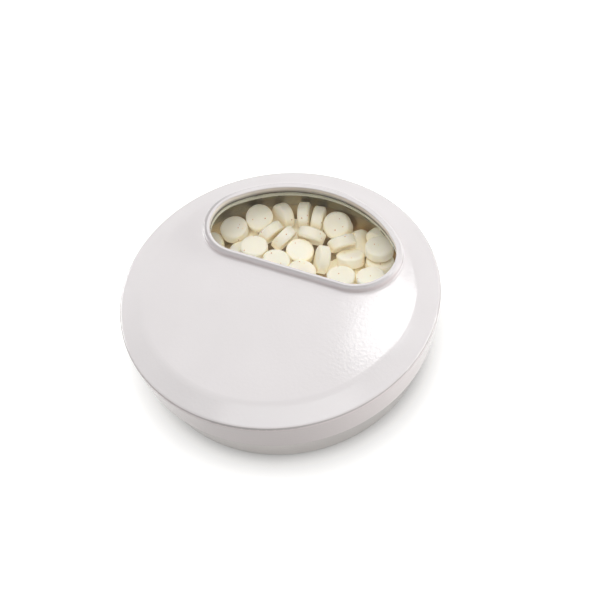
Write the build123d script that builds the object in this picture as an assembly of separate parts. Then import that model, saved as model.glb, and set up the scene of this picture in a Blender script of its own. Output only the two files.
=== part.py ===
from build123d import *
import math
import os
import random

import numpy as np

# Round hinged mint tin with a D-shaped window in its lid, standing on its base.
# Millimetres. Origin: centre of the base's underside. +Z up, +Y towards the hinge.

# Tinplate
sheet = 0.3
seat_gap = 0.02
overrun = 2.0

# Lid. Heights add up from the table: base wall, lid skirt, edge, crown, bead
lid_radius = 35.0
lid_border = 5.0
lid_break_round = 6.0
lid_edge_round = 0.8
crown_blend_share = 0.9
skirt_height = 8.4
skirt_taper = 1.05
border_rise = 1.5
crown_rise = 0.8
hem_width = 0.65
hem_height = 0.75

# Window in the lid, and the raised bead round it
window_border = 3.1
window_front = 4.1
window_corner_share = 0.373
bead_rise = 1.1
bead_width = 1.5
bead_outer_round_share = 0.6
bead_foot_round_share = 0.36
bead_inner_round = 0.2
bead_wall_depth = 1.8

# Clear pane and the sprung retainer that holds it in the bead
pane_sheet = 0.5
pane_border = 0.75
pane_lip_width = 0.6
pane_lip_depth = 0.8
pane_play = 0.1
retainer_sheet = 0.3
tab_width = 1.8
tab_reach = 0.75
back_tab_count = 9
front_tab_count = 3

# Base cup
foot_round = 1.4
foot_bevel = 1.3
wall_taper = 1.7
wall_foot_height = 0.9
wall_rise = 7.8
shoulder_inset = 0.2
shoulder_round = 0.5
shoulder_drop = 0.7
neck_rise = 0.9
neck_height = 5.7
rim_play = 0.5
rim_curl_radius = 0.5
floor_bead_inset = 5.9
floor_bead_width = 2.8
floor_bead_height = 0.45
floor_bead_slope = 0.6
floor_bead_round = 0.5

# Hinge at the back
hinge_stand = 2.45
hinge_rise = 0.9
knuckle_radius = 1.2
pin_radius = 0.5
pin_play = 0.05
pin_head_radius = 0.85
pin_head_length = 0.4
lid_knuckle_width = 5.4
base_knuckle_width = 4.0
knuckle_gap = 0.3
leaf_sheet = 0.35
leaf_angle = 26.0
lid_leaf_rise = 1.9
lid_leaf_margin = 2.0
base_leaf_length = 4.2
base_leaf_margin = 1.3
base_leaf_bend = 0.4
leaf_bend_round = 0.42

# Mints, and the free space that the heap leaves below the window
mint_diameter = 6.6
mint_thickness = 2.8
mint_bevel = 0.5
mint_bevel_drop = 0.3
mint_clearance = 0.05
mint_corner_play = 0.7
hidden_mint_sides = 12
heap_headroom = 4.75
least_radius = 0.0005
heap_seed = 5

# Places that follow from these sizes
shoulder_height = wall_foot_height + wall_rise
skirt_bottom_height = shoulder_height + shoulder_drop
lid_edge_height = skirt_bottom_height + skirt_height
lid_break_height = lid_edge_height + border_rise
lid_crown_height = lid_break_height + crown_rise
bead_top_height = lid_crown_height + bead_rise
bead_outer_round = bead_outer_round_share * bead_rise
bead_foot_round = bead_foot_round_share * bead_rise
pane_top_height = bead_top_height - bead_wall_depth - seat_gap
retainer_low = pane_top_height - pane_sheet - pane_lip_depth - seat_gap - retainer_sheet
lid_break_radius = lid_radius - lid_border
window_radius = lid_break_radius - window_border
window_corner = window_corner_share * (window_radius - window_front)
skirt_bottom_radius = lid_radius - skirt_taper
hem_radius = skirt_bottom_radius - hem_width
shoulder_radius = hem_radius - shoulder_inset
wall_foot_radius = shoulder_radius - wall_taper
foot_radius = wall_foot_radius - foot_bevel
neck_radius = hem_radius - rim_play + sheet - 2 * rim_curl_radius
neck_low = shoulder_height + neck_rise
rim_height = neck_low + neck_height
floor_bead_radius = foot_radius - floor_bead_inset
hinge_offset = skirt_bottom_radius + hinge_stand
hinge_height = skirt_bottom_height + hinge_rise
lid_leaf_low = hinge_height + lid_leaf_rise
lid_leaf_high = lid_edge_height - lid_leaf_margin
base_leaf_high = shoulder_height - base_leaf_margin
base_leaf_low = base_leaf_high - base_leaf_length
heap_height = retainer_low - heap_headroom

# Mints that show through the window, as the heap starts: shares of the window's
# radius to the right and towards the hinge, share of the heap's height, the tilt
# in degrees, and the way that the face leans in degrees
shown_mint_shares = [
    (-0.93, 0.50, 0.58, 6, 52), (-0.80, 0.34, 0.66, 11, 12), (-0.64, 0.50, 0.62, 5, 59),
    (-0.80, 0.80, 0.55, 20, 340), (-0.42, 1.08, 0.56, 50, 200), (0.02, 1.14, 0.62, 62, 262),
    (0.30, 0.98, 0.58, 11, 342), (0.47, 1.03, 0.60, 40, 70), (-0.06, 0.43, 0.75, 10, 80),
    (-0.27, 0.45, 0.75, 12, 36), (0.57, 0.56, 0.78, 13, 125), (-0.60, 0.86, 0.72, 11, 329),
    (0.30, 0.72, 0.72, 20, 86), (0.49, 0.92, 0.74, 25, 75), (0.56, 0.76, 0.68, 22, 48),
    (-0.15, 0.66, 0.72, 8, 317), (-0.47, 0.52, 0.72, 15, 188), (-0.11, 0.81, 0.76, 42, 102),
    (0.19, 0.88, 0.72, 39, 142), (-0.50, 0.78, 0.74, 42, 156), (-0.33, 0.74, 0.72, 51, 178),
    (-0.45, 0.94, 0.72, 60, 209), (-0.13, 1.03, 0.68, 53, 184), (-0.29, 1.01, 0.72, 71, 223),
    (0.08, 0.62, 0.72, 62, 193), (0.06, 1.03, 0.72, 45, 226), (-0.76, 0.62, 0.72, 10, 163),
    (0.33, 0.50, 0.75, 8, 84),
]

# The layers below them and the rest of the top, as the heap starts: share of the
# heap's height, pitch as a share of a mint, and the least and most tilt in degrees
lower_layer_shares = [(0.18, 1.12, 2, 28), (0.44, 1.17, 2, 28)]
top_layer_share = (0.69, 1.08, 5, 60)
bottom_layer_share = 1 / 3

# How the heap settles: rounds of growing, falling, resting and parting, and step
# sizes. The mints that show give way less than those that don't
grow_rounds = 240
fall_rounds = 160
rest_rounds = 40
part_rounds = 160
clear_rounds = 4
start_share = 0.35
fall_share = 0.007
pull_share = 0.3
settle_pull_share = 0.1
rest_turn_share = 0.05
part_pull_share = 0.1
part_pull_span_share = 0.6
shown_give_share = 0.2
push_share = 1.4
crossed_share = 0.6
crowded_share = 0.008


def strip_section(points, radii, thickness, side):
    """Section of bent sheet: a filleted path thickened to one side."""
    path = FilletPolyline(*points, radius=radii)
    return make_face(path.wire().offset_2d(thickness, side=side, closed=True).edges())


def revolve_section(section):
    """Turn a section drawn as (radius, height) about the tin's axis."""
    return revolve(Plane.XZ * section, axis=Axis.Z)


def crown_round():
    """Radius of the gentle arc of the lid's crown."""
    half_run = lid_break_radius / 2
    turn = math.atan2(lid_crown_height - lid_break_height, half_run)
    return crown_blend_share * half_run / math.tan(turn / 2)


def lid_top_points(drop):
    """Outer line of the lid's top, lowered by drop."""
    return [
        (0, lid_crown_height - drop),
        (lid_break_radius / 2, lid_crown_height - drop),
        (lid_break_radius, lid_break_height - drop),
        (lid_radius, lid_edge_height - drop),
    ]


def skirt_radius_at(height):
    """Outer radius of the lid's skirt at a height."""
    share = (height - skirt_bottom_height) / (lid_edge_height - skirt_bottom_height)
    return skirt_bottom_radius + share * (lid_radius - skirt_bottom_radius)


def wall_radius_at(height):
    """Outer radius of the base's tapered wall at a height."""
    share = (height - wall_foot_height) / (shoulder_height - wall_foot_height)
    return wall_foot_radius + share * (shoulder_radius - wall_foot_radius)


def window_face(grow):
    """The window's D outline, grown outwards evenly."""
    radius = window_radius + grow
    front = window_front - grow
    length = radius - front
    half = Circle(radius) & (Pos(0, front + length / 2) * Rectangle(2 * radius, length))
    return fillet(half.vertices(), window_corner + grow)


def window_band(inner_grow, outer_grow, low, high):
    """A band that follows the window's outline between two heights."""
    face = window_face(outer_grow) - window_face(inner_grow)
    return extrude(Pos(0, 0, low) * face, high - low)


def window_block(grow, low, high):
    """A D-shaped block between two heights."""
    return extrude(Pos(0, 0, low) * window_face(grow), high - low)


def space_under_lid_top():
    """The space below the underside of the lid's top."""
    points = lid_top_points(sheet)
    line = Polyline(*points, (lid_radius, skirt_bottom_height), (0, skirt_bottom_height), close=True)
    return revolve_section(make_face(line))


def lid_sheet():
    """Crowned top, rounded edge, tapered skirt and hem, from one sheet."""
    points = lid_top_points(0) + [
        (skirt_bottom_radius, skirt_bottom_height),
        (hem_radius, skirt_bottom_height),
        (hem_radius, skirt_bottom_height + hem_height),
    ]
    hem_round = hem_width / 2 - seat_gap / 4
    radii = [crown_round(), lid_break_round, lid_edge_round, hem_round, hem_round]
    return revolve_section(strip_section(points, radii, sheet, Side.RIGHT))


def window_bead():
    """Raised bead round the window, hollow below, its inner wall turned down."""
    wall_low = bead_top_height - bead_wall_depth
    foot_low = lid_edge_height
    ring = window_band(0, bead_width, foot_low, bead_top_height)
    ring = fillet(top_edges(ring, bead_width), bead_outer_round)
    ring = fillet(top_edges(ring, 0), bead_inner_round)
    hollow = window_band(sheet, bead_width - sheet, foot_low - overrun, bead_top_height - sheet)
    ring -= fillet(top_edges(hollow, bead_width - sheet), bead_outer_round - sheet)
    ring -= window_block(2 * sheet, foot_low - overrun, wall_low)
    outside = window_band(bead_width / 2, bead_width + overrun, foot_low - overrun, bead_top_height)
    return ring - (space_under_lid_top() & outside)


def top_edges(solid, grow):
    """A solid's highest edges that follow the window's outline, grown by a width."""
    edges = solid.edges().group_by(Axis.Z)[-1]
    return [edge for edge in edges if follows_window(edge, grow)]


def bead_foot_edges(lid):
    """Edges where the bead's outer wall rises from the lid's top."""
    return [
        edge
        for edge in lid.edges()
        if follows_window(edge, bead_width)
        and edge.geom_type != GeomType.LINE
        and lid_edge_height < edge.position_at(0.5).Z < lid_crown_height + seat_gap
    ]


def follows_window(edge, grow):
    """True for an edge that lies on the window's outline, grown by a width."""
    middle = edge.position_at(0.5)
    on_arc = abs(math.hypot(middle.X, middle.Y) - window_radius - grow) < seat_gap
    on_front = abs(middle.Y - window_front + grow) < seat_gap
    corner_y = window_front + window_corner
    corner_x = math.sqrt((window_radius - window_corner) ** 2 - corner_y ** 2)
    reach = math.hypot(abs(middle.X) - corner_x, middle.Y - corner_y)
    return on_arc or on_front or abs(reach - window_corner - grow) < seat_gap


def lid_shell():
    """The lid in one piece: pressed sheet with the window's bead."""
    hole = window_block(bead_width - sheet / 2, skirt_bottom_height, bead_top_height)
    lid = (lid_sheet() - hole) + window_bead()
    return fillet(bead_foot_edges(lid), bead_foot_round)


def window_pane():
    """Clear pane with a lip that hangs below its border."""
    top = pane_top_height
    low = top - pane_sheet
    plate = window_block(pane_border, low, top)
    lip = window_band(pane_border - pane_lip_width, pane_border, low - pane_lip_depth, low)
    return plate + lip


def tab_places():
    """Points on the window's outline and the way inwards at each, in degrees."""
    places = []
    back_span = 2 * math.degrees(math.acos((window_front + window_corner) / (window_radius - window_corner)))
    for index in range(back_tab_count):
        angle = 90 + back_span * (index / (back_tab_count - 1) - 0.5)
        turn = math.radians(angle)
        places.append((window_radius * math.cos(turn), window_radius * math.sin(turn), angle + 180))
    flat = 2 * math.sqrt((window_radius - window_corner) ** 2 - (window_front + window_corner) ** 2)
    for index in range(front_tab_count):
        across = flat * ((index + 0.5) / front_tab_count - 0.5)
        places.append((across, window_front, 90))
    return places


def window_retainer():
    """Steel band that stands in the bead's hollow, with tabs bent in under the pane."""
    high = bead_top_height - bead_outer_round - seat_gap
    low = retainer_low
    inner = pane_border + pane_play
    band = window_band(inner, inner + retainer_sheet, low, high)
    for x, y, angle in tab_places():
        length = tab_reach + inner + retainer_sheet / 2
        block = Pos(x, y, low + retainer_sheet / 2) * Rot(0, 0, angle) * Pos(tab_reach - length / 2 - inner, 0)
        tab = block * Box(length, tab_width, retainer_sheet)
        band += tab & window_block(inner + retainer_sheet / 2, low, low + retainer_sheet)
    return band


def base_shell():
    """Drawn cup: floor with a stiffening bead, tapered wall, neck and curled rim."""
    bead_in = floor_bead_radius - floor_bead_width / 2
    bead_out = floor_bead_radius + floor_bead_width / 2
    points = [
        (0, 0),
        (bead_in, 0),
        (bead_in + floor_bead_slope, floor_bead_height),
        (bead_out - floor_bead_slope, floor_bead_height),
        (bead_out, 0),
        (foot_radius, 0),
        (wall_foot_radius, wall_foot_height),
        (shoulder_radius, shoulder_height),
        (neck_radius, neck_low),
        (neck_radius, rim_height - rim_curl_radius),
    ]
    bead_rounds = [floor_bead_round] * 4
    radii = bead_rounds + [foot_round, foot_round, shoulder_round, shoulder_round]
    cup = revolve_section(strip_section(points, radii, sheet, Side.LEFT))
    curl_centre = neck_radius - sheet + rim_curl_radius
    curl = Pos(curl_centre, rim_height - rim_curl_radius) * (
        Circle(rim_curl_radius) - Circle(rim_curl_radius - sheet)
    )
    return cup + revolve_section(curl)


def knuckle(width, centre):
    """A rolled knuckle on the hinge's axis."""
    ring = Circle(knuckle_radius) - Circle(pin_radius + pin_play)
    across = Plane(origin=(centre - width / 2, hinge_offset, hinge_height), x_dir=(0, 1, 0), z_dir=(1, 0, 0))
    return extrude(across * ring, width)


def side_strip(points, radii, side, width, centre):
    """Bent strip drawn as (depth, height) and drawn out across the tin."""
    section = strip_section(points, radii, leaf_sheet, side)
    across = Plane(origin=(centre - width / 2, 0, 0), x_dir=(0, 1, 0), z_dir=(1, 0, 0))
    strip = extrude(across * section, width)
    bore = Pos(centre, hinge_offset, hinge_height) * Rot(0, 90, 0) * Cylinder(pin_radius + pin_play, 2 * width)
    return strip - bore


def wall_plate(low, high, radius_at):
    """A plate that follows a tapered wall across the back of the tin."""
    points = [
        (radius_at(low) - sheet, low),
        (radius_at(low) + leaf_sheet + seat_gap, low),
        (radius_at(high) + leaf_sheet + seat_gap, high),
        (radius_at(high) - sheet, high),
    ]
    sector = revolve(Plane.XZ * make_face(Polyline(*points, close=True)), axis=Axis.Z, revolution_arc=leaf_angle)
    return Rot(0, 0, 90 - leaf_angle / 2) * sector


def wall_envelope(low, high, radius_at):
    """The solid inside a tapered wall, with the gap that a welded leaf seats at."""
    points = [
        (0, low),
        (radius_at(low) + seat_gap, low),
        (radius_at(high) + seat_gap, high),
        (0, high),
    ]
    return revolve_section(make_face(Polyline(*points, close=True)))


def lid_hinge_leaf():
    """Leaf welded to the back of the skirt, rolled into the middle knuckle."""
    inner_face = hinge_offset - knuckle_radius
    points = [
        (inner_face, hinge_height),
        (inner_face, lid_leaf_low + leaf_sheet),
        (skirt_radius_at(lid_leaf_low) - sheet, lid_leaf_low + 2 * leaf_sheet),
    ]
    strip = side_strip(points, [leaf_bend_round], Side.RIGHT, lid_knuckle_width, 0)
    plate = wall_plate(lid_leaf_low, lid_leaf_high, skirt_radius_at)
    leaf = knuckle(lid_knuckle_width, 0) + strip + plate
    return leaf - wall_envelope(skirt_bottom_height, lid_edge_height, skirt_radius_at)


def base_hinge_leaf():
    """Leaf welded to the back of the base's wall, rolled into the outer knuckles."""
    inner_face = hinge_offset - knuckle_radius
    points = [
        (inner_face, hinge_height),
        (inner_face, shoulder_height - base_leaf_bend),
        (wall_radius_at(base_leaf_high) - sheet, base_leaf_high - leaf_sheet),
    ]
    leaf = wall_plate(base_leaf_low, base_leaf_high, wall_radius_at)
    centre = (lid_knuckle_width + base_knuckle_width) / 2 + knuckle_gap
    for place in (-centre, centre):
        leaf += knuckle(base_knuckle_width, place)
        leaf += side_strip(points, [leaf_bend_round], Side.LEFT, base_knuckle_width, place)
    return leaf - wall_envelope(wall_foot_height, shoulder_height, wall_radius_at)


def hinge_pin():
    """Wire pin with a peened head at each end."""
    length = lid_knuckle_width + 2 * (base_knuckle_width + knuckle_gap + seat_gap)
    axis = Pos(0, hinge_offset, hinge_height) * Rot(0, 90, 0)
    pin = axis * Cylinder(pin_radius, length)
    for end in (-1, 1):
        pin += axis * Pos(0, 0, end * (length + pin_head_length) / 2) * Cylinder(pin_head_radius, pin_head_length)
    return pin


def circle_points(radius, height, count):
    """Points round a circle about a mint's axis."""
    turns = np.arange(count) * 2 * math.pi / count
    return np.stack([radius * np.cos(turns), radius * np.sin(turns), np.full(count, height)], 1)


def mint_points():
    """Points over a mint's skin, from its middle."""
    edge = mint_diameter / 2
    half = mint_thickness / 2
    rings = [(edge, half, 20), (edge, -half, 20), (edge, 0, 12), (edge / 2, half, 8), (edge / 2, -half, 8)]
    return np.concatenate([circle_points(*ring) for ring in rings] + [[[0, 0, half], [0, 0, -half]]])


def lean_vector(tilt, lean):
    """The way that a mint's face looks, from its tilt and lean in degrees."""
    turn = math.radians(tilt)
    way = math.radians(lean)
    return (math.sin(turn) * math.cos(way), math.sin(turn) * math.sin(way), math.cos(turn))


def grid_places(pitch, reach):
    """Places of a close-packed layer inside a radius."""
    count = int(reach / pitch) + 2
    places = []
    for row in range(-count, count + 1):
        for column in range(-count, count + 1):
            x = pitch * (column + row / 2)
            y = pitch * row * math.sqrt(3) / 2
            if math.hypot(x, y) < reach:
                places.append((x, y))
    return places


class Heap:
    """Mints that grow from small ones in their places, push each other apart and fall."""

    def __init__(self):
        self.skin = mint_points()
        self.random = random.Random(heap_seed)
        self.middles = []
        self.faces = []
        for height_share, pitch_share, least, most in lower_layer_shares:
            self.add_layer(height_share * heap_height, pitch_share, least, most, 0)
        self.lower_count = len(self.middles)
        for across, back, height_share, tilt, lean in shown_mint_shares:
            place = (across * window_radius, back * window_radius, height_share * heap_height)
            self.middles.append(place)
            self.faces.append(lean_vector(tilt, lean))
        self.shown = slice(self.lower_count, len(self.middles))
        height_share, pitch_share, least, most = top_layer_share
        self.add_layer(height_share * heap_height, pitch_share, least, most, mint_diameter)
        self.middles = np.array(self.middles)
        self.faces = np.array(self.faces)
        self.wanted = (self.middles[self.shown].copy(), self.faces[self.shown].copy())

    def add_layer(self, height, pitch_share, least, most, keep_off):
        """Add a layer, leaving out places close to the mints that show."""
        taken = self.middles[self.lower_count:] if keep_off else []
        reach = cup_radius_at(height) - mint_diameter / 2
        for x, y in grid_places(pitch_share * mint_diameter, reach):
            if all(math.hypot(x - place[0], y - place[1]) > keep_off for place in taken):
                self.middles.append((x, y, height))
                self.faces.append(lean_vector(self.random.uniform(least, most), self.random.uniform(0, 360)))

    def skins(self, scale):
        """Points over every mint's skin at a scale."""
        across = np.cross(np.where(abs(self.faces[:, 2:]) < 0.9, [[0, 0, 1]], [[1, 0, 0]]), self.faces)
        across /= np.linalg.norm(across, axis=1, keepdims=True)
        along = np.cross(self.faces, across)
        axes = np.stack([across, along, self.faces], 1)
        return self.middles[:, None, :] + np.einsum("pi,nij->npj", self.skin * scale, axes)

    def mint_pushes(self, skins, scale):
        """Where mints press into each other: mint, neighbour, place and push."""
        edge = mint_diameter / 2 * scale
        half = mint_thickness / 2 * scale
        apart = np.linalg.norm(self.middles[:, None] - self.middles[None], axis=2)
        first, second = np.nonzero((apart < 2 * math.hypot(edge, half) + mint_clearance) & (apart > 0))
        away = skins[first] - self.middles[second][:, None, :]
        rise = np.einsum("kpi,ki->kp", away, self.faces[second])
        out = away - rise[..., None] * self.faces[second][:, None, :]
        radius = np.maximum(np.linalg.norm(out, axis=2), least_radius)
        past_edge = radius - edge
        past_face = abs(rise) - half
        outside = np.hypot(np.maximum(past_edge, 0), np.maximum(past_face, 0))
        depth = mint_clearance - outside - np.minimum(np.maximum(past_edge, past_face), 0)
        pair, point = np.nonzero(depth > 0)
        by_face = past_face[pair, point] > past_edge[pair, point]
        face_way = np.sign(rise[pair, point])[:, None] * self.faces[second[pair]]
        edge_way = out[pair, point] / radius[pair, point][:, None]
        way = np.where(by_face[:, None], face_way, edge_way)
        push = depth[pair, point][:, None] * way
        by_skin = (first[pair], second[pair], skins[first[pair], point], push)
        return [np.concatenate(parts) for parts in zip(by_skin, self.middle_pushes(first, second, scale))]

    def middle_pushes(self, first, second, scale):
        """Push apart mints whose middles lie closer than two mints ever can."""
        between = self.middles[first] - self.middles[second]
        apart = np.linalg.norm(between, axis=1)
        crossed = apart < crossed_share * mint_thickness * scale
        first, second = first[crossed], second[crossed]
        way = between[crossed] / np.maximum(apart[crossed], least_radius)[:, None]
        return first, second, self.middles[first], mint_thickness * way

    def cup_pushes(self, skins):
        """Where mints press into the cup or rise above the heap: mint, place and push."""
        mints = np.repeat(np.arange(len(skins)), len(self.skin))
        places = skins.reshape(-1, 3)
        radius = np.maximum(np.hypot(places[:, 0], places[:, 1]), least_radius)
        height = places[:, 2]
        floor = sheet + np.where(abs(radius - floor_bead_radius) < floor_bead_width / 2, floor_bead_height, 0)
        up = np.maximum(floor + mint_clearance - height, 0) - np.maximum(height - heap_height, 0)
        inwards = np.maximum(radius + mint_clearance - cup_radii_at(height), 0)
        push = np.stack([-inwards * places[:, 0] / radius, -inwards * places[:, 1] / radius, up], 1)
        pressed = (up != 0) | (inwards > 0)
        return mints[pressed], places[pressed], push[pressed]

    def step(self, scale, fall, pull, turn_pull):
        """Fall a little, pull the mints that show to their places, and push all apart."""
        self.middles[:, 2] -= fall
        self.middles[self.shown, 2] += fall if pull else 0
        self.middles[self.shown] += pull * (self.wanted[0] - self.middles[self.shown])
        self.faces[self.shown] += turn_pull * (self.wanted[1] - self.faces[self.shown])
        self.faces /= np.linalg.norm(self.faces, axis=1, keepdims=True)
        skins = self.skins(scale)
        first, second, places, push = self.mint_pushes(skins, scale)
        pressed, cup_places, cup_push = self.cup_pushes(skins)
        mints = np.concatenate([first, second, pressed])
        places = np.concatenate([places, places, cup_places])
        give = np.ones(len(self.middles))
        give[self.shown] = shown_give_share
        own_share = (give[first] / (give[first] + give[second]))[:, None]
        push = np.concatenate([push * own_share, push * (own_share - 1), cup_push])
        shift = np.zeros_like(self.middles)
        turn = np.zeros_like(self.middles)
        counts = np.zeros(len(self.middles))
        np.add.at(shift, mints, push)
        np.add.at(turn, mints, np.cross(places - self.middles[mints], push))
        np.add.at(counts, mints, 1)
        ease = push_share / np.maximum(counts, 1)[:, None] ** 0.75
        self.middles += ease * shift
        turn *= ease * 8 / mint_diameter ** 2
        size = np.linalg.norm(turn, axis=1, keepdims=True)
        turn *= np.minimum(1, 0.15 / np.maximum(size, 1e-9))
        self.faces += np.cross(turn, self.faces)
        self.faces /= np.linalg.norm(self.faces, axis=1, keepdims=True)
        depths = np.zeros(len(self.middles))
        np.maximum.at(depths, mints, np.linalg.norm(push, axis=1))
        return depths

    def settle(self):
        """Grow, fall and part; crowded mints that don't show are left out."""
        fall = fall_share * mint_thickness
        for count in range(grow_rounds):
            scale = start_share + (1 - start_share) * (count + 1) / grow_rounds
            self.step(scale, 0, pull_share, pull_share)
        for _ in range(fall_rounds):
            self.step(1, fall, settle_pull_share, pull_share)
        for _ in range(rest_rounds):
            self.step(1, fall, 0, rest_turn_share)
        for clearing in range(clear_rounds):
            most_pull = part_pull_share if clearing < clear_rounds - 1 else 0
            for count in range(part_rounds):
                pull = most_pull * max(0, 1 - count / (part_pull_span_share * part_rounds))
                depths = self.step(1, 0, pull, pull)
            self.leave_out(depths > mint_clearance / 2 + crowded_share * mint_thickness)

    def leave_out(self, crowded):
        """Take out crowded mints, but none of those that show."""
        crowded[self.shown] = False
        self.lower_count -= int(np.count_nonzero(crowded[: self.shown.start]))
        kept = ~crowded
        self.middles = self.middles[kept]
        self.faces = self.faces[kept]
        self.shown = slice(self.lower_count, self.lower_count + len(shown_mint_shares))


def cup_radius_at(height):
    """Inner radius of the cup at a height."""
    return float(cup_radii_at(np.array([height]))[0])


def cup_radii_at(heights):
    """Inner radii of the cup: rounded foot, tapered wall, straight neck."""
    share = (heights - wall_foot_height) / wall_rise
    wall = wall_foot_radius - mint_corner_play - sheet + share * (wall_taper + mint_corner_play)
    rise = np.clip(heights - sheet, 0, foot_round)
    foot = foot_radius - mint_corner_play + np.sqrt(foot_round ** 2 - (foot_round - rise) ** 2) - sheet
    low = np.where(heights < sheet + foot_round, foot, wall)
    return np.minimum(np.minimum(wall, low), neck_radius - sheet)


def shown_mint():
    """A pressed mint: flat faces with a bevelled edge, from a turned half section."""
    half = mint_thickness / 2
    edge = mint_diameter / 2
    points = [
        (0, half),
        (edge - mint_bevel, half),
        (edge, half - mint_bevel_drop),
        (edge, mint_bevel_drop - half),
        (edge - mint_bevel, -half),
        (0, -half),
    ]
    return revolve_section(make_face(Polyline(*points, close=True)))


def hidden_mint():
    """A mint of the lower heap, with fewer faces."""
    return extrude(RegularPolygon(mint_diameter / 2, hidden_mint_sides), mint_thickness / 2, both=True)


def laid_mint(shape, middle, face):
    """A mint in its place in the heap."""
    return Plane(origin=tuple(middle), z_dir=tuple(face)) * shape


def mint_nodes():
    """The heap: lower mints by height, those that show one by one, and the rest of the top."""
    heap = Heap()
    heap.settle()
    hidden = hidden_mint()
    shown = shown_mint()
    nodes = {"mints_bottom": [], "mints_middle": [], "mints_top": []}
    for number, (middle, face) in enumerate(zip(heap.middles, heap.faces)):
        if heap.shown.start <= number < heap.shown.stop:
            nodes[f"mint_{number - heap.shown.start + 1:02d}"] = [laid_mint(shown, middle, face)]
        elif number >= heap.shown.stop:
            nodes["mints_top"].append(laid_mint(shown, middle, face))
        elif middle[2] > bottom_layer_share * heap_height:
            nodes["mints_middle"].append(laid_mint(hidden, middle, face))
        else:
            nodes["mints_bottom"].append(laid_mint(hidden, middle, face))
    return nodes


def write_node(name, shape):
    """Write one node's solids as a STEP file."""
    shape.label = name
    export_step(shape, f"parts/{name}.step")


os.makedirs("parts", exist_ok=True)
write_node("base_shell", base_shell())
write_node("base_hinge_leaf", base_hinge_leaf())
write_node("hinge_pin", hinge_pin())
write_node("lid_shell", lid_shell())
write_node("lid_hinge_leaf", lid_hinge_leaf())
write_node("window_pane", window_pane())
write_node("window_retainer", window_retainer())
for node_name, solids in mint_nodes().items():
    write_node(node_name, Compound(children=solids) if len(solids) > 1 else solids[0])
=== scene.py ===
import math

import bpy
import numpy as np
from mathutils import Matrix, Vector


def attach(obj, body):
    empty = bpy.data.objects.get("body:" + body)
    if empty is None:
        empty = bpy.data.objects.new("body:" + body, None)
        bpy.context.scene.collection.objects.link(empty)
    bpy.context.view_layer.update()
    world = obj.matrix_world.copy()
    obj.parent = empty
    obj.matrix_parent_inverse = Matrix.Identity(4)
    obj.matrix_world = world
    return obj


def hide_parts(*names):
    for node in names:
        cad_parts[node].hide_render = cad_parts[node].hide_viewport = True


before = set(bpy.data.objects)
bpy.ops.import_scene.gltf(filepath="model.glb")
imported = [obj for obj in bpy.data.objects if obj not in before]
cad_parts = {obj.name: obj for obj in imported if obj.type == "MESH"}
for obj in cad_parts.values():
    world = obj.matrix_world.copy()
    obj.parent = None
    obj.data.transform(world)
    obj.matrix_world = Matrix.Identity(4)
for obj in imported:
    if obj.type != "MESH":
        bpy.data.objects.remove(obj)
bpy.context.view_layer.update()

MM = 0.001

# Camera, fitted to the outlines of the lid: angles in degrees, lengths in millimetres
CAMERA_LENS = 60.0
CAMERA_SENSOR = 36.0
CAMERA_AZIMUTH = 31.5
CAMERA_ELEVATION = 52.56
CAMERA_ROLL = -9.03
CAMERA_DISTANCE = 217.23
CAMERA_SIDE = 4.62
CAMERA_DROP = 2.17

# Height on the tin's axis that the camera and the lamps look at, in millimetres
TARGET_HEIGHT = 17.3

# How near and how far the camera sees, in metres
CAMERA_NEAR = 0.005
CAMERA_FAR = 20.0

# Lamps: azimuth and elevation in degrees, distance and sides in metres, radiance
LAMPS = {
    "softbox_behind": (-176.0, 56.5, 0.80, 0.225, 0.17, 7.0),
    "softbox_dim": (-206.0, 57.5, 0.80, 0.11, 0.126, 2.4),
    "softbox_right": (116.0, 10.0, 0.90, 0.60, 0.30, 8.0),
    "softbox_left": (-96.0, 12.0, 0.90, 0.50, 0.30, 7.0),
    "panel_above": (180.0, 80.0, 1.20, 1.30, 1.30, 0.38),
    "panel_front": (20.0, 72.0, 0.90, 0.70, 0.70, 1.92),
}

# Light from all round: radiance at the horizon and overhead
WORLD_LIGHT = (0.12, 0.375)

WHITE = (1.0, 1.0, 1.0)
BLACK = (0.0, 0.0, 0.0)

# Floor: its colour and its reach in metres
FLOOR_WHITE = (0.52, 0.513, 0.50)
FLOOR_REACH = 3.0

# Painted shadow on the floor, in its white glow: the way that counts as open, two distances, and the glow
# from shaded to open
SHADOW_OPEN_WAY = (-0.26, 0.36, 0.89)
SHADOW_DISTANCE = 9.0 * MM
SHADOW_OPEN = (0.30, 1.0)
SHADOW_GLOW = (0.24, 0.79)
CONTACT_DISTANCE = 2.5 * MM
CONTACT_OPEN = (0.30, 0.95)
CONTACT_SHARE = (0.70, 1.0)
OPEN_AIR_SAMPLES = 8

# Lacquer: colours, linear, and the painted shade of the lid's skirt, a slightly pinker tint
LID_WHITE = (0.800, 0.765, 0.768)
BASE_WHITE = (0.905, 0.850, 0.820)
SKIRT_PAINTED_SHADE = (1.055, 1.005, 0.995)

# Lacquer: painted shade by which way each wall faces: the way it darkens towards, scaled to how fast, and
# the most that it darkens
LID_SHADED_WAY = (0.16, -0.33, 0.0)
LID_MOST_SHADED = 0.045
BASE_SHADED_WAY = (0.62, 0.30, 0.0)
BASE_MOST_SHADED = 0.36

# Lacquer: how steep the sheet stands and how far it faces the shaded way, where the painted shade of the
# skirt sets in
STEEP_SPAN = (0.93, 0.45)
SIDEWARDS_SPAN = (0.0, 0.25)

# Lacquer: a broad cloud, a fine mottle of the gloss, and orange peel, as scales a metre
CLOUD_SCALE = 55.0
CLOUD_SPAN = (0.35, 0.65)
CLOUD_TONES = (0.985, 1.012)
CLOUD_STRENGTH = 0.10
CLOUD_DEPTH = 0.4 * MM
MOTTLE_SCALE = 420.0
MOTTLE_SPAN = (0.3, 0.7)
LACQUER_ROUGHNESS = (0.06, 0.11)
BARE_ROUGHNESS = (0.30, 0.42)
PEEL_SCALE = 1500.0
PEEL_STRENGTH = 0.8
PEEL_DEPTH = 0.03 * MM
LACQUER_IOR = 1.5
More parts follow.
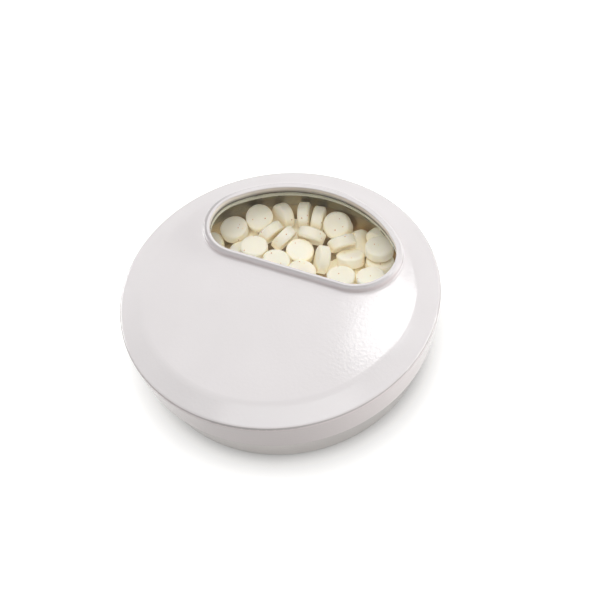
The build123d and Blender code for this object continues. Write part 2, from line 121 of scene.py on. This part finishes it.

# Bare sheet inside the tin: colours, and the heights between which it turns warmer and lighter, a painted
# warm light from the mints round it
TIN_BARE = (0.42, 0.41, 0.37)
TIN_DARK = (0.20, 0.19, 0.165)
TIN_PAINTED_MINT_LIGHT = (0.62, 0.52, 0.38)
DEEP_SPAN = (10.0 * MM, 6.0 * MM)

# Which side of the sheet a point is on: shares of its unit normal, and heights on the lid
FACES_UP = 0.5
FACES_AWAY = 0.3
LID_HEM_TOP = 9.9 * MM
LID_WALL_TOP = 17.8 * MM

# Painted shade: a thin dark line round the lid's edge, where the top turns down into the skirt
CREASE_PAINTED_SHADE_COLOUR = (0.42, 0.385, 0.38)
CREASE_SHADE = 0.75
CREASE_UPPER = (0.76, 0.62)
CREASE_LOWER = (0.30, 0.48)
CREASE_TOP = 18.0 * MM

# Outline of the window, in metres: an arc about the tin's axis, a straight front and two round corners
WINDOW_MIDDLE = (0.0, 15.5 * MM, 0.0)
WINDOW_RADIUS = 26.9 * MM
WINDOW_FRONT = 4.1 * MM
WINDOW_CORNER = 8.5 * MM

# Wall of the bead that faces the window: heights, and the colours from its foot to its lip, a painted shade
# that is darkest at the foot
RIM_SHADE = (0.10, 0.09, 0.08)
RIM_BROWN = (0.90, 0.83, 0.77)
RIM_FACING = 0.45
RIM_HEIGHTS = (19.2 * MM, 20.95 * MM)
RIM_SPAN = (19.55 * MM, 20.45 * MM)

# Outer side of the bead: painted shade, by its distance from the window's edge, mostly at the front
BEAD_SHADE = (0.20, 0.17, 0.18)
BEAD_LOWEST = 19.0 * MM
BEAD_DARKENS = (0.50 * MM, 0.70 * MM)
BEAD_DARKEST = 0.52
BEAD_LIGHTENS = (0.95 * MM, 1.45 * MM)
BEAD_FOOT_SHARE = 0.35
BEAD_ENDS = (1.75 * MM, 1.50 * MM)
BEAD_BACKWARDS = (0.25, 1.0, 0.0)
BEAD_BACK_SPAN = (9.0 * MM, 16.0 * MM)
BEAD_BACK_SHARE = 0.08

# Bare metal: drawing marks along the piece, broad patches, and the roughness of each metal
STEEL = (0.50, 0.50, 0.50)
MARK_SCALES = (300.0, 300.0, 2500.0)
MARK_DETAIL = 3.0
MARK_SPAN = (0.3, 0.7)
MARK_STRENGTH = 0.15
MARK_DEPTH = 0.03 * MM
PATCH_SCALE = 180.0
PATCH_SPAN = (0.3, 0.7)
PATCH_TONE = 0.86
TINPLATE_ROUGHNESS = (0.28, 0.45)
DARK_TINPLATE_ROUGHNESS = (0.40, 0.55)
STEEL_ROUGHNESS = (0.25, 0.40)

# Pane: clear where it lies flat, frosted on its upright lip and on the lip's foot
PANE_TINT = (0.985, 0.985, 0.97)
PANE_IOR = 1.18
PANE_SCUFF_SCALE = 700.0
PANE_SCUFF_DETAIL = 3.0
PANE_SCUFF_SPAN = (0.4, 0.75)
PANE_ROUGHNESS = (0.015, 0.05)
PANE_WAVE_SCALE = 60.0
PANE_WAVE_DETAIL = 1.0
PANE_WAVE_STRENGTH = 0.02
PANE_WAVE_DEPTH = 0.3 * MM
PANE_LEVEL_SPAN = (0.35, 0.85)
LIP_GREY = (0.82, 0.81, 0.70)
LIP_CREAM = (1.0, 0.95, 0.80)
LIP_FOOT_SPAN = (18.45 * MM, 18.15 * MM)
LIP_FROST = 0.88
LIP_FOOT_FROST = 0.95
LIP_ROUGHNESS = 0.35
LIP_IOR = 1.3

# Mint powder: cream where a mint lies open, and a painted amber shade where mints crowd together
MINT_CREAM = (0.905, 0.880, 0.795)
MINT_PAINTED_GAP_SHADE = (0.90, 0.80, 0.57)
MINT_ROUGHNESS = 0.62
CROWD_DISTANCE = 2.6 * MM
CROWD_SPAN = (0.15, 0.85)
BLOTCH_SCALE = 330.0
BLOTCH_DETAIL = 3.0
BLOTCH_SPAN = (0.35, 0.65)
BLOTCH_TONE = 0.965

# Painted glow: the mints give off a faint light under the lid, left out of the gaps between them, for light
# that soaks through them; and how far light soaks under their surface
MINT_PAINTED_GLOW = (0.87, 0.78, 0.58)
CEILING_DISTANCE = 14.0 * MM
CEILING_SPAN = (0.35, 0.75)
CEILING_PAINTED_GLOW = (0.25, 0.0)
GAP_SPAN = (0.20, 0.80)
GAP_SHARE = (0.10, 1.0)
SOAK_WEIGHT = 0.5
SOAK_RADIUS = (1.0, 0.8, 0.5)
SOAK_DISTANCE = 1.0 * MM

# Red specks in some cells of the powder, and its fine grain and pits
MINT_SPECK = (0.36, 0.13, 0.08)
SPECK_SCALE = 820.0
SPECK_SIZE = 0.15
SPECK_CHANCE = 0.52
SPECK_STRENGTH = 0.85
GRAIN_SCALE = 2600.0
GRAIN_DETAIL = 4.0
GRAIN_ROUGHNESS = 0.6
GRAIN_STRENGTH = 0.35
GRAIN_DEPTH = 0.05 * MM
PIT_SCALE = 900.0
PIT_STRENGTH = 0.25
PIT_DEPTH = 0.12 * MM

# Mint meshes: the upper half of the profile, as shares of the radius and of half the thickness
MINT_PROFILE_SHARES = [
    (0.0, 1.0), (0.22, 1.0), (0.44, 1.0), (0.64, 0.995), (0.79, 0.985), (0.85, 0.965),
    (0.885, 0.925), (0.925, 0.87), (0.96, 0.815), (0.985, 0.75), (0.997, 0.66), (1.0, 0.5),
    (1.0, 0.25), (1.0, 0.0),
]
MINT_SEGMENTS = 36
MINT_SEED = 11

# Wear of the mints, in millimetres: a wavy surface, and one to three chips at an edge
WEAR_DEPTH = 0.03
WEAR_WAVES = 9
WEAR_RATES = (1.5, 4.5)
WEAR_SPREAD = 30
CHIP_COUNTS = (1, 4)
CHIP_HEIGHT_SHARE = 0.8
CHIP_REACH = (0.35, 0.8)
CHIP_DEPTH = (0.05, 0.16)
CHIP_POWER = 1.5

# Reading the CAD's mints: corners nearer than this are one, the least area worth dividing by, and how far
# along X an axis may point before its sides are found with Y
MERGE_DISTANCE = 0.01 * MM
LEAST_AREA = 1e-15
NEARLY_ALONG_X = 0.8

# Sockets of the Mix node: first, second and result, for numbers and for colours
MIX_SOCKETS = {"FLOAT": (2, 3, 0), "RGBA": (6, 7, 2)}


def direction(azimuth, elevation):
    """Unit vector from the object towards an azimuth and an elevation."""
    a, e = math.radians(azimuth), math.radians(elevation)
    return Vector((math.sin(a) * math.cos(e), -math.cos(a) * math.cos(e), math.sin(e)))


def link(thing):
    """Put an object in the scene."""
    bpy.context.scene.collection.objects.link(thing)
    return thing


class Nodes:
    """A small helper that builds one node tree."""

    def __init__(self, tree):
        self.tree = tree
        tree.nodes.clear()

    def add(self, kind, sockets=(), **settings):
        node = self.tree.nodes.new("ShaderNode" + kind)
        for name, value in settings.items():
            setattr(node, name, value)
        for name, value in dict(sockets).items():
            self.put(node.inputs[name], value)
        return node

    def put(self, socket, value):
        if isinstance(value, bpy.types.NodeSocket):
            self.tree.links.new(value, socket)
        elif isinstance(value, bpy.types.Node):
            self.tree.links.new(value.outputs[0], socket)
        elif isinstance(value, tuple) and len(value) == 3 and socket.type == "RGBA":
            socket.default_value = (*value, 1.0)
        else:
            socket.default_value = value

    def math(self, operation, first, second=0.0):
        return self.add("Math", {0: first, 1: second}, operation=operation).outputs[0]

    def product(self, first, *others):
        for other in others:
            first = self.math("MULTIPLY", first, other)
        return first

    def above(self, value, limit):
        return self.math("GREATER_THAN", value, limit)

    def below(self, value, limit):
        return self.math("LESS_THAN", value, limit)

    def vector(self, operation, first, second=(0.0, 0.0, 0.0)):
        return self.add("VectorMath", {0: first, 1: second}, operation=operation).outputs["Vector"]

    def measure(self, operation, first, second=(0.0, 0.0, 0.0)):
        return self.add("VectorMath", {0: first, 1: second}, operation=operation).outputs["Value"]

    def split(self, vector):
        return self.add("SeparateXYZ", {0: vector}).outputs

    def noise(self, vector, scale, detail=2.0, roughness=0.5):
        sockets = {"Vector": vector, "Scale": scale, "Detail": detail, "Roughness": roughness}
        return self.add("TexNoise", sockets).outputs["Fac"]

    def open_air(self, distance, **sockets):
        sockets["Distance"] = distance
        return self.add("AmbientOcclusion", sockets, samples=OPEN_AIR_SAMPLES).outputs["AO"]

    def stretch(self, value, span, new_span=(0.0, 1.0)):
        sockets = {"Value": value, "From Min": span[0], "From Max": span[1]}
        sockets.update({"To Min": new_span[0], "To Max": new_span[1]})
        return self.add("MapRange", sockets).outputs[0]

    def mix(self, share, first, second, kind="RGBA"):
        node = self.add("Mix", {0: share}, data_type=kind)
        first_socket, second_socket, result = MIX_SOCKETS[kind]
        self.put(node.inputs[first_socket], first)
        self.put(node.inputs[second_socket], second)
        return node.outputs[result]

    def bump(self, height, strength, distance, under=None):
        sockets = {"Height": height, "Strength": strength, "Distance": distance}
        if under is not None:
            sockets["Normal"] = under
        return self.add("Bump", sockets).outputs[0]

    def finish(self, shader, kind="OutputMaterial"):
        output = self.add(kind)
        self.put(output.inputs["Surface"], shader)


def new_material(name):
    """A new material, and a helper for its node tree."""
    material = bpy.data.materials.new(name)
    material.use_nodes = True
    return material, Nodes(material.node_tree)


def object_place(n):
    """The place on the object, in metres."""
    return n.add("TexCoord").outputs["Object"]


def object_normal(n):
    """The way the surface faces, turning with the object."""
    return n.add("TexCoord").outputs["Normal"]


class Sheet:
    """Where a point of a pressed sheet lies and which way it faces, for the masks of its material."""

    def __init__(self, n):
        self.place = object_place(n)
        self.normal = object_normal(n)
        self.height = n.split(self.place)[2]
        self.facing = n.split(self.normal)[2]
        self.flat_place = n.vector("MULTIPLY", self.place, (1.0, 1.0, 0.0))
        outwards = n.vector("NORMALIZE", self.flat_place)
        self.radial = n.measure("DOT_PRODUCT", outwards, self.normal)


def beyond_window(n, sheet):
    """How far a place lies outside the window's edge, in metres, as seen from above."""
    corner_y = WINDOW_FRONT + WINDOW_CORNER
    corner_x = math.sqrt((WINDOW_RADIUS - WINDOW_CORNER) ** 2 - corner_y ** 2)
    across, back, _ = n.split(sheet.place)
    side = n.math("ABSOLUTE", across)
    flat = n.add("CombineXYZ", {0: side, 1: back}).outputs[0]
    past_arc = n.math("SUBTRACT", n.measure("LENGTH", flat), WINDOW_RADIUS)
    past_front = n.math("SUBTRACT", WINDOW_FRONT, back)
    from_corner = n.measure("DISTANCE", flat, (corner_x, corner_y, 0.0))
    past_corner = n.math("SUBTRACT", from_corner, WINDOW_CORNER)
    below_ray = n.below(back, n.product(side, corner_y / corner_x))
    at_corner = n.product(n.above(side, corner_x), below_ray)
    return n.mix(at_corner, n.math("MAXIMUM", past_arc, past_front), past_corner, "FLOAT")


def lacquer(n, sheet, colour, steep_painted_shade, shaded_way, most_shaded):
    """Colour of the lacquer, with a broad cloud and a slow painted shade round the walls, by which way they
    face.
    """
    cloud = n.stretch(n.noise(sheet.place, CLOUD_SCALE), CLOUD_SPAN, CLOUD_TONES)
    # Painted shade: darker where a wall faces the shaded way, and tinted on the steep skirt
    sidewards = n.measure("DOT_PRODUCT", sheet.normal, shaded_way)
    gentle = n.math("MINIMUM", n.math("MAXIMUM", sidewards, 0.0), most_shaded)
    steep = n.product(n.stretch(sheet.facing, STEEP_SPAN), n.stretch(sidewards, SIDEWARDS_SPAN))
    painted_shade = n.mix(gentle, n.mix(steep, WHITE, steep_painted_shade), BLACK)
    return n.vector("MULTIPLY", n.vector("MULTIPLY", colour, cloud), painted_shade)


def lid_lines(n, sheet, shade):
    """The lid's colour with painted shade: a dark line round its edge, on the wall round the pane and on
    the bead's outer side.
    """
    # Painted shade in the crease where the top turns down into the skirt
    turning = n.product(n.stretch(sheet.facing, CREASE_UPPER), n.stretch(sheet.facing, CREASE_LOWER))
    at_edge = n.product(n.above(sheet.radial, FACES_AWAY), n.below(sheet.height, CREASE_TOP))
    shade = n.mix(n.product(turning, at_edge, CREASE_SHADE), shade, CREASE_PAINTED_SHADE_COLOUR)

    # Painted shade down the wall round the pane, darkest at its foot
    to_window = n.vector("NORMALIZE", n.vector("SUBTRACT", WINDOW_MIDDLE, sheet.flat_place))
    turned = n.measure("DOT_PRODUCT", to_window, sheet.normal)
    low, high = RIM_HEIGHTS
    wall = n.product(n.above(turned, RIM_FACING), n.above(sheet.height, low), n.below(sheet.height, high))
    painted_rim_shade = n.mix(n.stretch(sheet.height, RIM_SPAN), RIM_SHADE, RIM_BROWN)
    shade = n.mix(wall, shade, painted_rim_shade)

    # Painted shade on the bead's outer side, mostly at the front
    beyond = beyond_window(n, sheet)
    painted_bead_shade = n.product(
        n.stretch(beyond, BEAD_DARKENS, (0.0, BEAD_DARKEST)),
        n.stretch(beyond, BEAD_LIGHTENS, (1.0, BEAD_FOOT_SHARE)),
        n.stretch(beyond, BEAD_ENDS),
        n.above(sheet.height, BEAD_LOWEST),
    )
    backwards = n.measure("DOT_PRODUCT", sheet.place, BEAD_BACKWARDS)
    painted_bead_shade = n.product(painted_bead_shade, n.stretch(backwards, BEAD_BACK_SPAN, (1.0, BEAD_BACK_SHARE)))
    return n.mix(painted_bead_shade, shade, BEAD_SHADE)


def finish_sheet(n, sheet, shade, inside):
    """Gloss lacquer where the sheet faces out, and bare tinplate where it faces in."""
    mottle = n.noise(sheet.place, MOTTLE_SCALE)
    gloss = n.stretch(mottle, MOTTLE_SPAN, LACQUER_ROUGHNESS)
    dull = n.stretch(mottle, MOTTLE_SPAN, BARE_ROUGHNESS)
    # Painted warm light from the mints on the bare sheet deep inside
    depth = n.product(inside, n.stretch(sheet.height, DEEP_SPAN))
    clouds = n.bump(n.noise(sheet.place, CLOUD_SCALE), CLOUD_STRENGTH, CLOUD_DEPTH)
    n.finish(n.add("BsdfPrincipled", {
        "Base Color": n.mix(depth, shade, TIN_PAINTED_MINT_LIGHT),
        "Metallic": inside,
        "Roughness": n.mix(inside, gloss, dull, "FLOAT"),
        "Normal": n.bump(n.noise(sheet.place, PEEL_SCALE), PEEL_STRENGTH, PEEL_DEPTH, clouds),
        "IOR": LACQUER_IOR,
    }))


def lid_enamel():
    """White lacquer on the lid with painted shade and lines, which is bare under its top and inside its
    skirt.
    """
    material, n = new_material("lid_enamel")
    sheet = Sheet(n)
    under_side = n.product(n.below(sheet.facing, -FACES_UP), n.above(sheet.height, LID_HEM_TOP))
    inner_wall = n.product(n.below(sheet.radial, -FACES_AWAY), n.below(sheet.height, LID_WALL_TOP))
    inside = n.math("MAXIMUM", under_side, inner_wall)
    shade = lacquer(n, sheet, LID_WHITE, SKIRT_PAINTED_SHADE, LID_SHADED_WAY, LID_MOST_SHADED)
    shade = lid_lines(n, sheet, n.mix(inside, shade, TIN_BARE))
    finish_sheet(n, sheet, shade, inside)
    return material


def base_enamel():
    """White lacquer on the base with painted shade round its wall, which is bare on its floor and inside
    its wall.
    """
    material, n = new_material("base_enamel")
    sheet = Sheet(n)
    inside = n.math("MAXIMUM", n.above(sheet.facing, FACES_UP), n.below(sheet.radial, -FACES_AWAY))
    shade = lacquer(n, sheet, BASE_WHITE, WHITE, BASE_SHADED_WAY, BASE_MOST_SHADED)
    finish_sheet(n, sheet, n.mix(inside, shade, TIN_BARE), inside)
    return material


def bare_metal(name, colour, roughness):
    """Plain metal with fine drawing marks."""
    material, n = new_material(name)
    place = object_place(n)
    marks = n.noise(n.vector("MULTIPLY", place, MARK_SCALES), 1.0, MARK_DETAIL)
    patches = n.stretch(n.noise(place, PATCH_SCALE), PATCH_SPAN)
    n.finish(n.add("BsdfPrincipled", {
        "Base Color": n.mix(patches, tuple(PATCH_TONE * part for part in colour), colour),
        "Metallic": 1.0,
        "Roughness": n.stretch(marks, MARK_SPAN, roughness),
        "Normal": n.bump(marks, MARK_STRENGTH, MARK_DEPTH),
    }))
    return material


def clear_plastic():
    """A clear pane with a frosted lip, which lets the lamps' light through to the mints."""
    material, n = new_material("pane_plastic")
    place = object_place(n)
    level = n.math("ABSOLUTE", n.split(object_normal(n))[2])
    upright = n.stretch(level, PANE_LEVEL_SPAN, (1.0, 0.0))
    lip_foot = n.product(n.stretch(n.split(place)[2], LIP_FOOT_SPAN), n.stretch(level, PANE_LEVEL_SPAN))
    scuffs = n.noise(place, PANE_SCUFF_SCALE, PANE_SCUFF_DETAIL)
    swell = n.noise(place, PANE_WAVE_SCALE, PANE_WAVE_DETAIL)
    glass = n.add("BsdfPrincipled", {
        "Base Color": PANE_TINT,
        "Roughness": n.stretch(scuffs, PANE_SCUFF_SPAN, PANE_ROUGHNESS),
        "IOR": PANE_IOR,
        "Transmission Weight": 1.0,
        "Normal": n.bump(swell, PANE_WAVE_STRENGTH, PANE_WAVE_DEPTH),
    })
    frost = n.add("BsdfPrincipled", {
        "Base Color": n.mix(lip_foot, LIP_GREY, LIP_CREAM),
        "Roughness": LIP_ROUGHNESS,
        "IOR": LIP_IOR,
    })
    frosted = n.math("MAXIMUM", n.product(upright, LIP_FROST), n.product(lip_foot, LIP_FOOT_FROST))
    body = n.add("MixShader", {0: frosted, 1: glass, 2: frost})
    clear = n.add("BsdfTransparent", {"Color": PANE_TINT})
    path = n.add("LightPath").outputs
    through = n.math("MAXIMUM", path["Is Shadow Ray"], path["Is Diffuse Ray"])
    n.finish(n.add("MixShader", {0: through, 1: body, 2: clear}))
    return material


def pressed_mint():
    """Matt pressed powder with tiny specks, a painted amber shade where the mints crowd together and a
    painted glow under the lid.
    """
    material, n = new_material("mint_powder")
    place = object_place(n)
    crowd = n.open_air(CROWD_DISTANCE)
    ceiling = n.open_air(CEILING_DISTANCE)
    # Painted glow under the lid: the mints give off light though no lamp is there
    glow = n.product(n.stretch(ceiling, CEILING_SPAN, CEILING_PAINTED_GLOW), n.stretch(crowd, GAP_SPAN, GAP_SHARE))
    blotch = n.stretch(n.noise(place, BLOTCH_SCALE, BLOTCH_DETAIL), BLOTCH_SPAN)
    cream = n.mix(blotch, tuple(BLOTCH_TONE * part for part in MINT_CREAM), MINT_CREAM)
    # Painted shade: amber in the gaps where the mints crowd together
    body = n.mix(n.stretch(crowd, CROWD_SPAN), MINT_PAINTED_GAP_SHADE, cream)
    cells = n.add("TexVoronoi", {"Vector": place, "Scale": SPECK_SCALE}).outputs
    chance = n.add("SeparateColor", {0: cells["Color"]}).outputs[0]
    speck = n.product(n.below(cells["Distance"], SPECK_SIZE), n.above(chance, SPECK_CHANCE), SPECK_STRENGTH)
    grain = n.noise(place, GRAIN_SCALE, GRAIN_DETAIL, GRAIN_ROUGHNESS)
    pits = n.bump(n.noise(place, PIT_SCALE), PIT_STRENGTH, PIT_DEPTH)
    n.finish(n.add("BsdfPrincipled", {
        "Base Color": n.mix(speck, body, MINT_SPECK),
        "Roughness": MINT_ROUGHNESS,
        "Subsurface Weight": SOAK_WEIGHT,
        "Subsurface Radius": SOAK_RADIUS,
        "Subsurface Scale": SOAK_DISTANCE,
        "Emission Color": MINT_PAINTED_GLOW,
        "Emission Strength": glow,
        "Normal": n.bump(grain, GRAIN_STRENGTH, GRAIN_DEPTH, pits),
    }))
    return material


def paint(piece, material):
    """Give a piece one material in every slot."""
    mesh = piece.data
    if not mesh.materials:
        mesh.materials.append(material)
    for index in range(len(mesh.materials)):
        mesh.materials[index] = material


def mesh_triangles(mesh):
    """Corner points of a mesh, and the numbers of each triangle's three corners."""
    mesh.calc_loop_triangles()
    points = np.zeros(len(mesh.vertices) * 3)
    mesh.vertices.foreach_get("co", points)
    corners = np.zeros(len(mesh.loop_triangles) * 3, np.int64)
    mesh.loop_triangles.foreach_get("vertices", corners)
    return points.reshape(-1, 3), corners.reshape(-1, 3)


def solid_labels(points, corners):
    """A number for each triangle, the same all over one solid."""
    rounded = np.round(points / MERGE_DISTANCE).astype(np.int64)
    merged = np.unique(rounded, axis=0, return_inverse=True)[1].reshape(-1)
    ends = merged[corners]
    labels = np.arange(merged.max() + 1)
    while True:
        least = labels[ends].min(axis=1)
        before = labels.copy()
        for column in range(3):
            np.minimum.at(labels, ends[:, column], least)
        if (labels == before).all():
            return labels[ends[:, 0]]


def mint_places(piece):
    """Centre, axis, radius and half thickness of each mint in a node's mesh."""
    points, corners = mesh_triangles(piece.data)
    labels = solid_labels(points, corners)
    found = []
    for label in np.unique(labels):
        corner = points[corners[labels == label]]
        cross = np.cross(corner[:, 1] - corner[:, 0], corner[:, 2] - corner[:, 0])
        area = np.linalg.norm(cross, axis=1)
        facing = cross / np.maximum(area, LEAST_AREA)[:, None]
        spread = np.einsum("k,ki,kj->ij", area, facing, facing)
        axis = np.linalg.eigh(spread)[1][:, -1]
        axis *= 1.0 if axis[2] >= 0 else -1.0
        centre = (corner.mean(axis=1) * area[:, None]).sum(axis=0) / area.sum()
        away = corner.reshape(-1, 3) - centre
        along = away @ axis
        out = np.linalg.norm(away - along[:, None] * axis, axis=1)
        found.append((centre, axis, out.max(), abs(along).max()))
    return found


def mint_form():
    """Points of one new mint, of unit radius and unit half thickness."""
    lower_half = [(out, -rise) for out, rise in reversed(MINT_PROFILE_SHARES[:-1])]
    profile = MINT_PROFILE_SHARES + lower_half
    turns = np.arange(MINT_SEGMENTS) * 2 * math.pi / MINT_SEGMENTS
    rings = []
    for out, rise in profile[1:-1]:
        heights = np.full(MINT_SEGMENTS, rise)
        rings.append(np.stack([out * np.cos(turns), out * np.sin(turns), heights], 1))
    return np.concatenate([[[0, 0, 1.0]]] + rings + [[[0, 0, -1.0]]])


def mint_faces():
    """Faces of a closed stack of rings with a middle point at each end."""
    rings = 2 * len(MINT_PROFILE_SHARES) - 3
    count = MINT_SEGMENTS
    last = 1 + rings * count
    faces = []
    for step in range(count):
        after = (step + 1) % count
        faces.append((0, 1 + step, 1 + after))
        for ring in range(rings - 1):
            low = 1 + ring * count
            faces.append((low + step, low + count + step, low + count + after, low + after))
        bottom = 1 + (rings - 1) * count
        faces.append((last, bottom + after, bottom + step))
    return faces


def waves(points, random):
    """A smooth seeded field over points in millimetres, about -1 to 1."""
    value = np.zeros(len(points))
    for _ in range(WEAR_WAVES):
        way = random.normal(size=3)
        way *= random.uniform(*WEAR_RATES) / np.linalg.norm(way)
        value += np.sin(points @ way + random.uniform(0, 2 * math.pi))
    return value / math.sqrt(WEAR_WAVES)


def wear_down(local, radius, half, random):
    """A mint's points about its own centre, in metres, drawn in where it is worn or chipped."""
    in_mm = local / MM
    worn = 0.5 + 0.5 * waves(in_mm + WEAR_SPREAD * random.uniform(size=3), random)
    shrink = WEAR_DEPTH * np.clip(worn, 0, 1)
    for _ in range(int(random.integers(*CHIP_COUNTS))):
        turn = random.uniform(0, 2 * math.pi)
        height = random.choice([-1.0, 1.0]) * half * CHIP_HEIGHT_SHARE
        chip = np.array([math.cos(turn) * radius, math.sin(turn) * radius, height]) / MM
        far = np.linalg.norm(in_mm - chip, axis=1) / random.uniform(*CHIP_REACH)
        shrink += random.uniform(*CHIP_DEPTH) * np.clip(1 - far, 0, 1) ** CHIP_POWER
    return local * (1 - shrink / np.linalg.norm(in_mm, axis=1))[:, None]


def laid_mints(name, places, material):
    """One mesh of rounded mints that stand in the places of the plain ones."""
    random = np.random.default_rng(MINT_SEED + sum(ord(letter) for letter in name))
    new_mint = mint_form()
    pattern = mint_faces()
    points, faces = [], []
    for number, (centre, axis, radius, half) in enumerate(places):
        across = np.cross(axis, [1.0, 0.0, 0.0] if abs(axis[0]) < NEARLY_ALONG_X else [0.0, 1.0, 0.0])
        across /= np.linalg.norm(across)
        along = np.cross(axis, across)
        local = wear_down(new_mint * [radius, radius, half], radius, half, random)
        spun = random.uniform(0, 2 * math.pi)
        x = local[:, 0] * math.cos(spun) - local[:, 1] * math.sin(spun)
        y = local[:, 0] * math.sin(spun) + local[:, 1] * math.cos(spun)
        points.append(centre + x[:, None] * across + y[:, None] * along + local[:, 2:] * axis)
        start = number * len(new_mint)
        faces.extend(tuple(start + corner for corner in face) for face in pattern)
    mesh = bpy.data.meshes.new(name)
    mesh.from_pydata(np.concatenate(points).tolist(), [], faces)
    mesh.validate()
    mesh.shade_smooth()
    piece = link(bpy.data.objects.new(name, mesh))
    paint(piece, material)
    return piece


def place_camera():
    """The camera at the photograph's angle."""
    roll = math.radians(CAMERA_ROLL)
    towards = direction(CAMERA_AZIMUTH, CAMERA_ELEVATION)
    azimuth = math.radians(CAMERA_AZIMUTH)
    right = Vector((math.cos(azimuth), math.sin(azimuth), 0.0))
    up = towards.cross(right)
    image_right = math.cos(roll) * right + math.sin(roll) * up
    image_up = math.cos(roll) * up - math.sin(roll) * right
    target = Vector((0.0, 0.0, TARGET_HEIGHT))
    spot = target + CAMERA_DISTANCE * towards + CAMERA_SIDE * image_right - CAMERA_DROP * image_up
    data = bpy.data.cameras.new("camera")
    data.lens = CAMERA_LENS
    data.sensor_width = CAMERA_SENSOR
    data.clip_start = CAMERA_NEAR
    data.clip_end = CAMERA_FAR
    camera = link(bpy.data.objects.new("camera", data))
    turned = Matrix((image_right, image_up, towards)).transposed().to_4x4()
    camera.matrix_world = Matrix.Translation(spot * MM) @ turned
    bpy.context.scene.camera = camera


def place_lamps():
    """Soft area lamps that face the tin."""
    target = Vector((0.0, 0.0, TARGET_HEIGHT * MM))
    for name, (azimuth, elevation, distance, width, depth, radiance) in LAMPS.items():
        data = bpy.data.lights.new(name, "AREA")
        data.shape = "RECTANGLE"
        data.size = width
        data.size_y = depth
        data.energy = radiance * math.pi * width * depth
        lamp = link(bpy.data.objects.new(name, data))
        away = direction(azimuth, elevation)
        lamp.location = target + distance * away
        lamp.rotation_mode = "QUATERNION"
        lamp.rotation_quaternion = away.to_track_quat("Z", "Y")


def seen_directly(n):
    """1 for rays of the camera, of reflections and through the pane, 0 for rays that light the object."""
    path = n.add("LightPath").outputs
    seen = n.math("MAXIMUM", path["Is Camera Ray"], path["Is Glossy Ray"])
    return n.math("MAXIMUM", seen, path["Is Transmission Ray"])


def build_world():
    """Soft light from all round, brighter above, and a white background."""
    world = bpy.data.worlds.new("studio")
    world.use_nodes = True
    bpy.context.scene.world = world
    n = Nodes(world.node_tree)
    up = n.split(n.add("TexCoord").outputs["Generated"])[2]
    soft = n.stretch(up, (0.0, 1.0), WORLD_LIGHT)
    strength = n.mix(seen_directly(n), soft, 1.0, "FLOAT")
    n.finish(n.add("Background", {"Color": WHITE, "Strength": strength}), "OutputWorld")


def build_floor():
    """A wide pale floor that shows white, with the tin's shadow painted into its glow as well as cast by
    the lamps.
    """
    mesh = bpy.data.meshes.new("floor")
    corners = [(x * FLOOR_REACH, y * FLOOR_REACH, 0.0) for x, y in ((-1, -1), (1, -1), (1, 1), (-1, 1))]
    mesh.from_pydata(corners, [], [(0, 1, 2, 3)])
    floor = link(bpy.data.objects.new("floor", mesh))
    material, n = new_material("floor_white")
    # Painted shadow: the glow dims where the tin closes off the open air round the floor
    open_air = n.open_air(SHADOW_DISTANCE, Normal=SHADOW_OPEN_WAY)
    close_air = n.open_air(CONTACT_DISTANCE, Normal=SHADOW_OPEN_WAY)
    contact = n.stretch(close_air, CONTACT_OPEN, CONTACT_SHARE)
    strength = n.product(seen_directly(n), n.stretch(open_air, SHADOW_OPEN, SHADOW_GLOW), contact)
    diffuse = n.add("BsdfDiffuse", {"Color": FLOOR_WHITE})
    glow = n.add("Emission", {"Color": WHITE, "Strength": strength})
    n.finish(n.add("AddShader", {0: diffuse, 1: glow}))
    paint(floor, material)


def dress_tin():
    """A finish for each piece of the tin, and rounded mints in place of the plain ones."""
    tinplate = bare_metal("tinplate", TIN_BARE, TINPLATE_ROUGHNESS)
    finishes = {
        "lid_shell": lid_enamel(),
        "base_shell": base_enamel(),
        "window_pane": clear_plastic(),
        "window_retainer": bare_metal("dark_tinplate", TIN_DARK, DARK_TINPLATE_ROUGHNESS),
        "hinge_pin": bare_metal("pin_steel", STEEL, STEEL_ROUGHNESS),
    }
    mint = pressed_mint()
    for name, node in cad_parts.items():
        if name.startswith("mint"):
            piece = laid_mints(name + "_pressed", mint_places(node), mint)
            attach(piece, "base")
            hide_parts(name)
        else:
            paint(node, finishes.get(name, tinplate))


def main():
    bpy.context.scene.view_settings.view_transform = "Standard"
    place_camera()
    place_lamps()
    build_world()
    build_floor()
    dress_tin()


main()
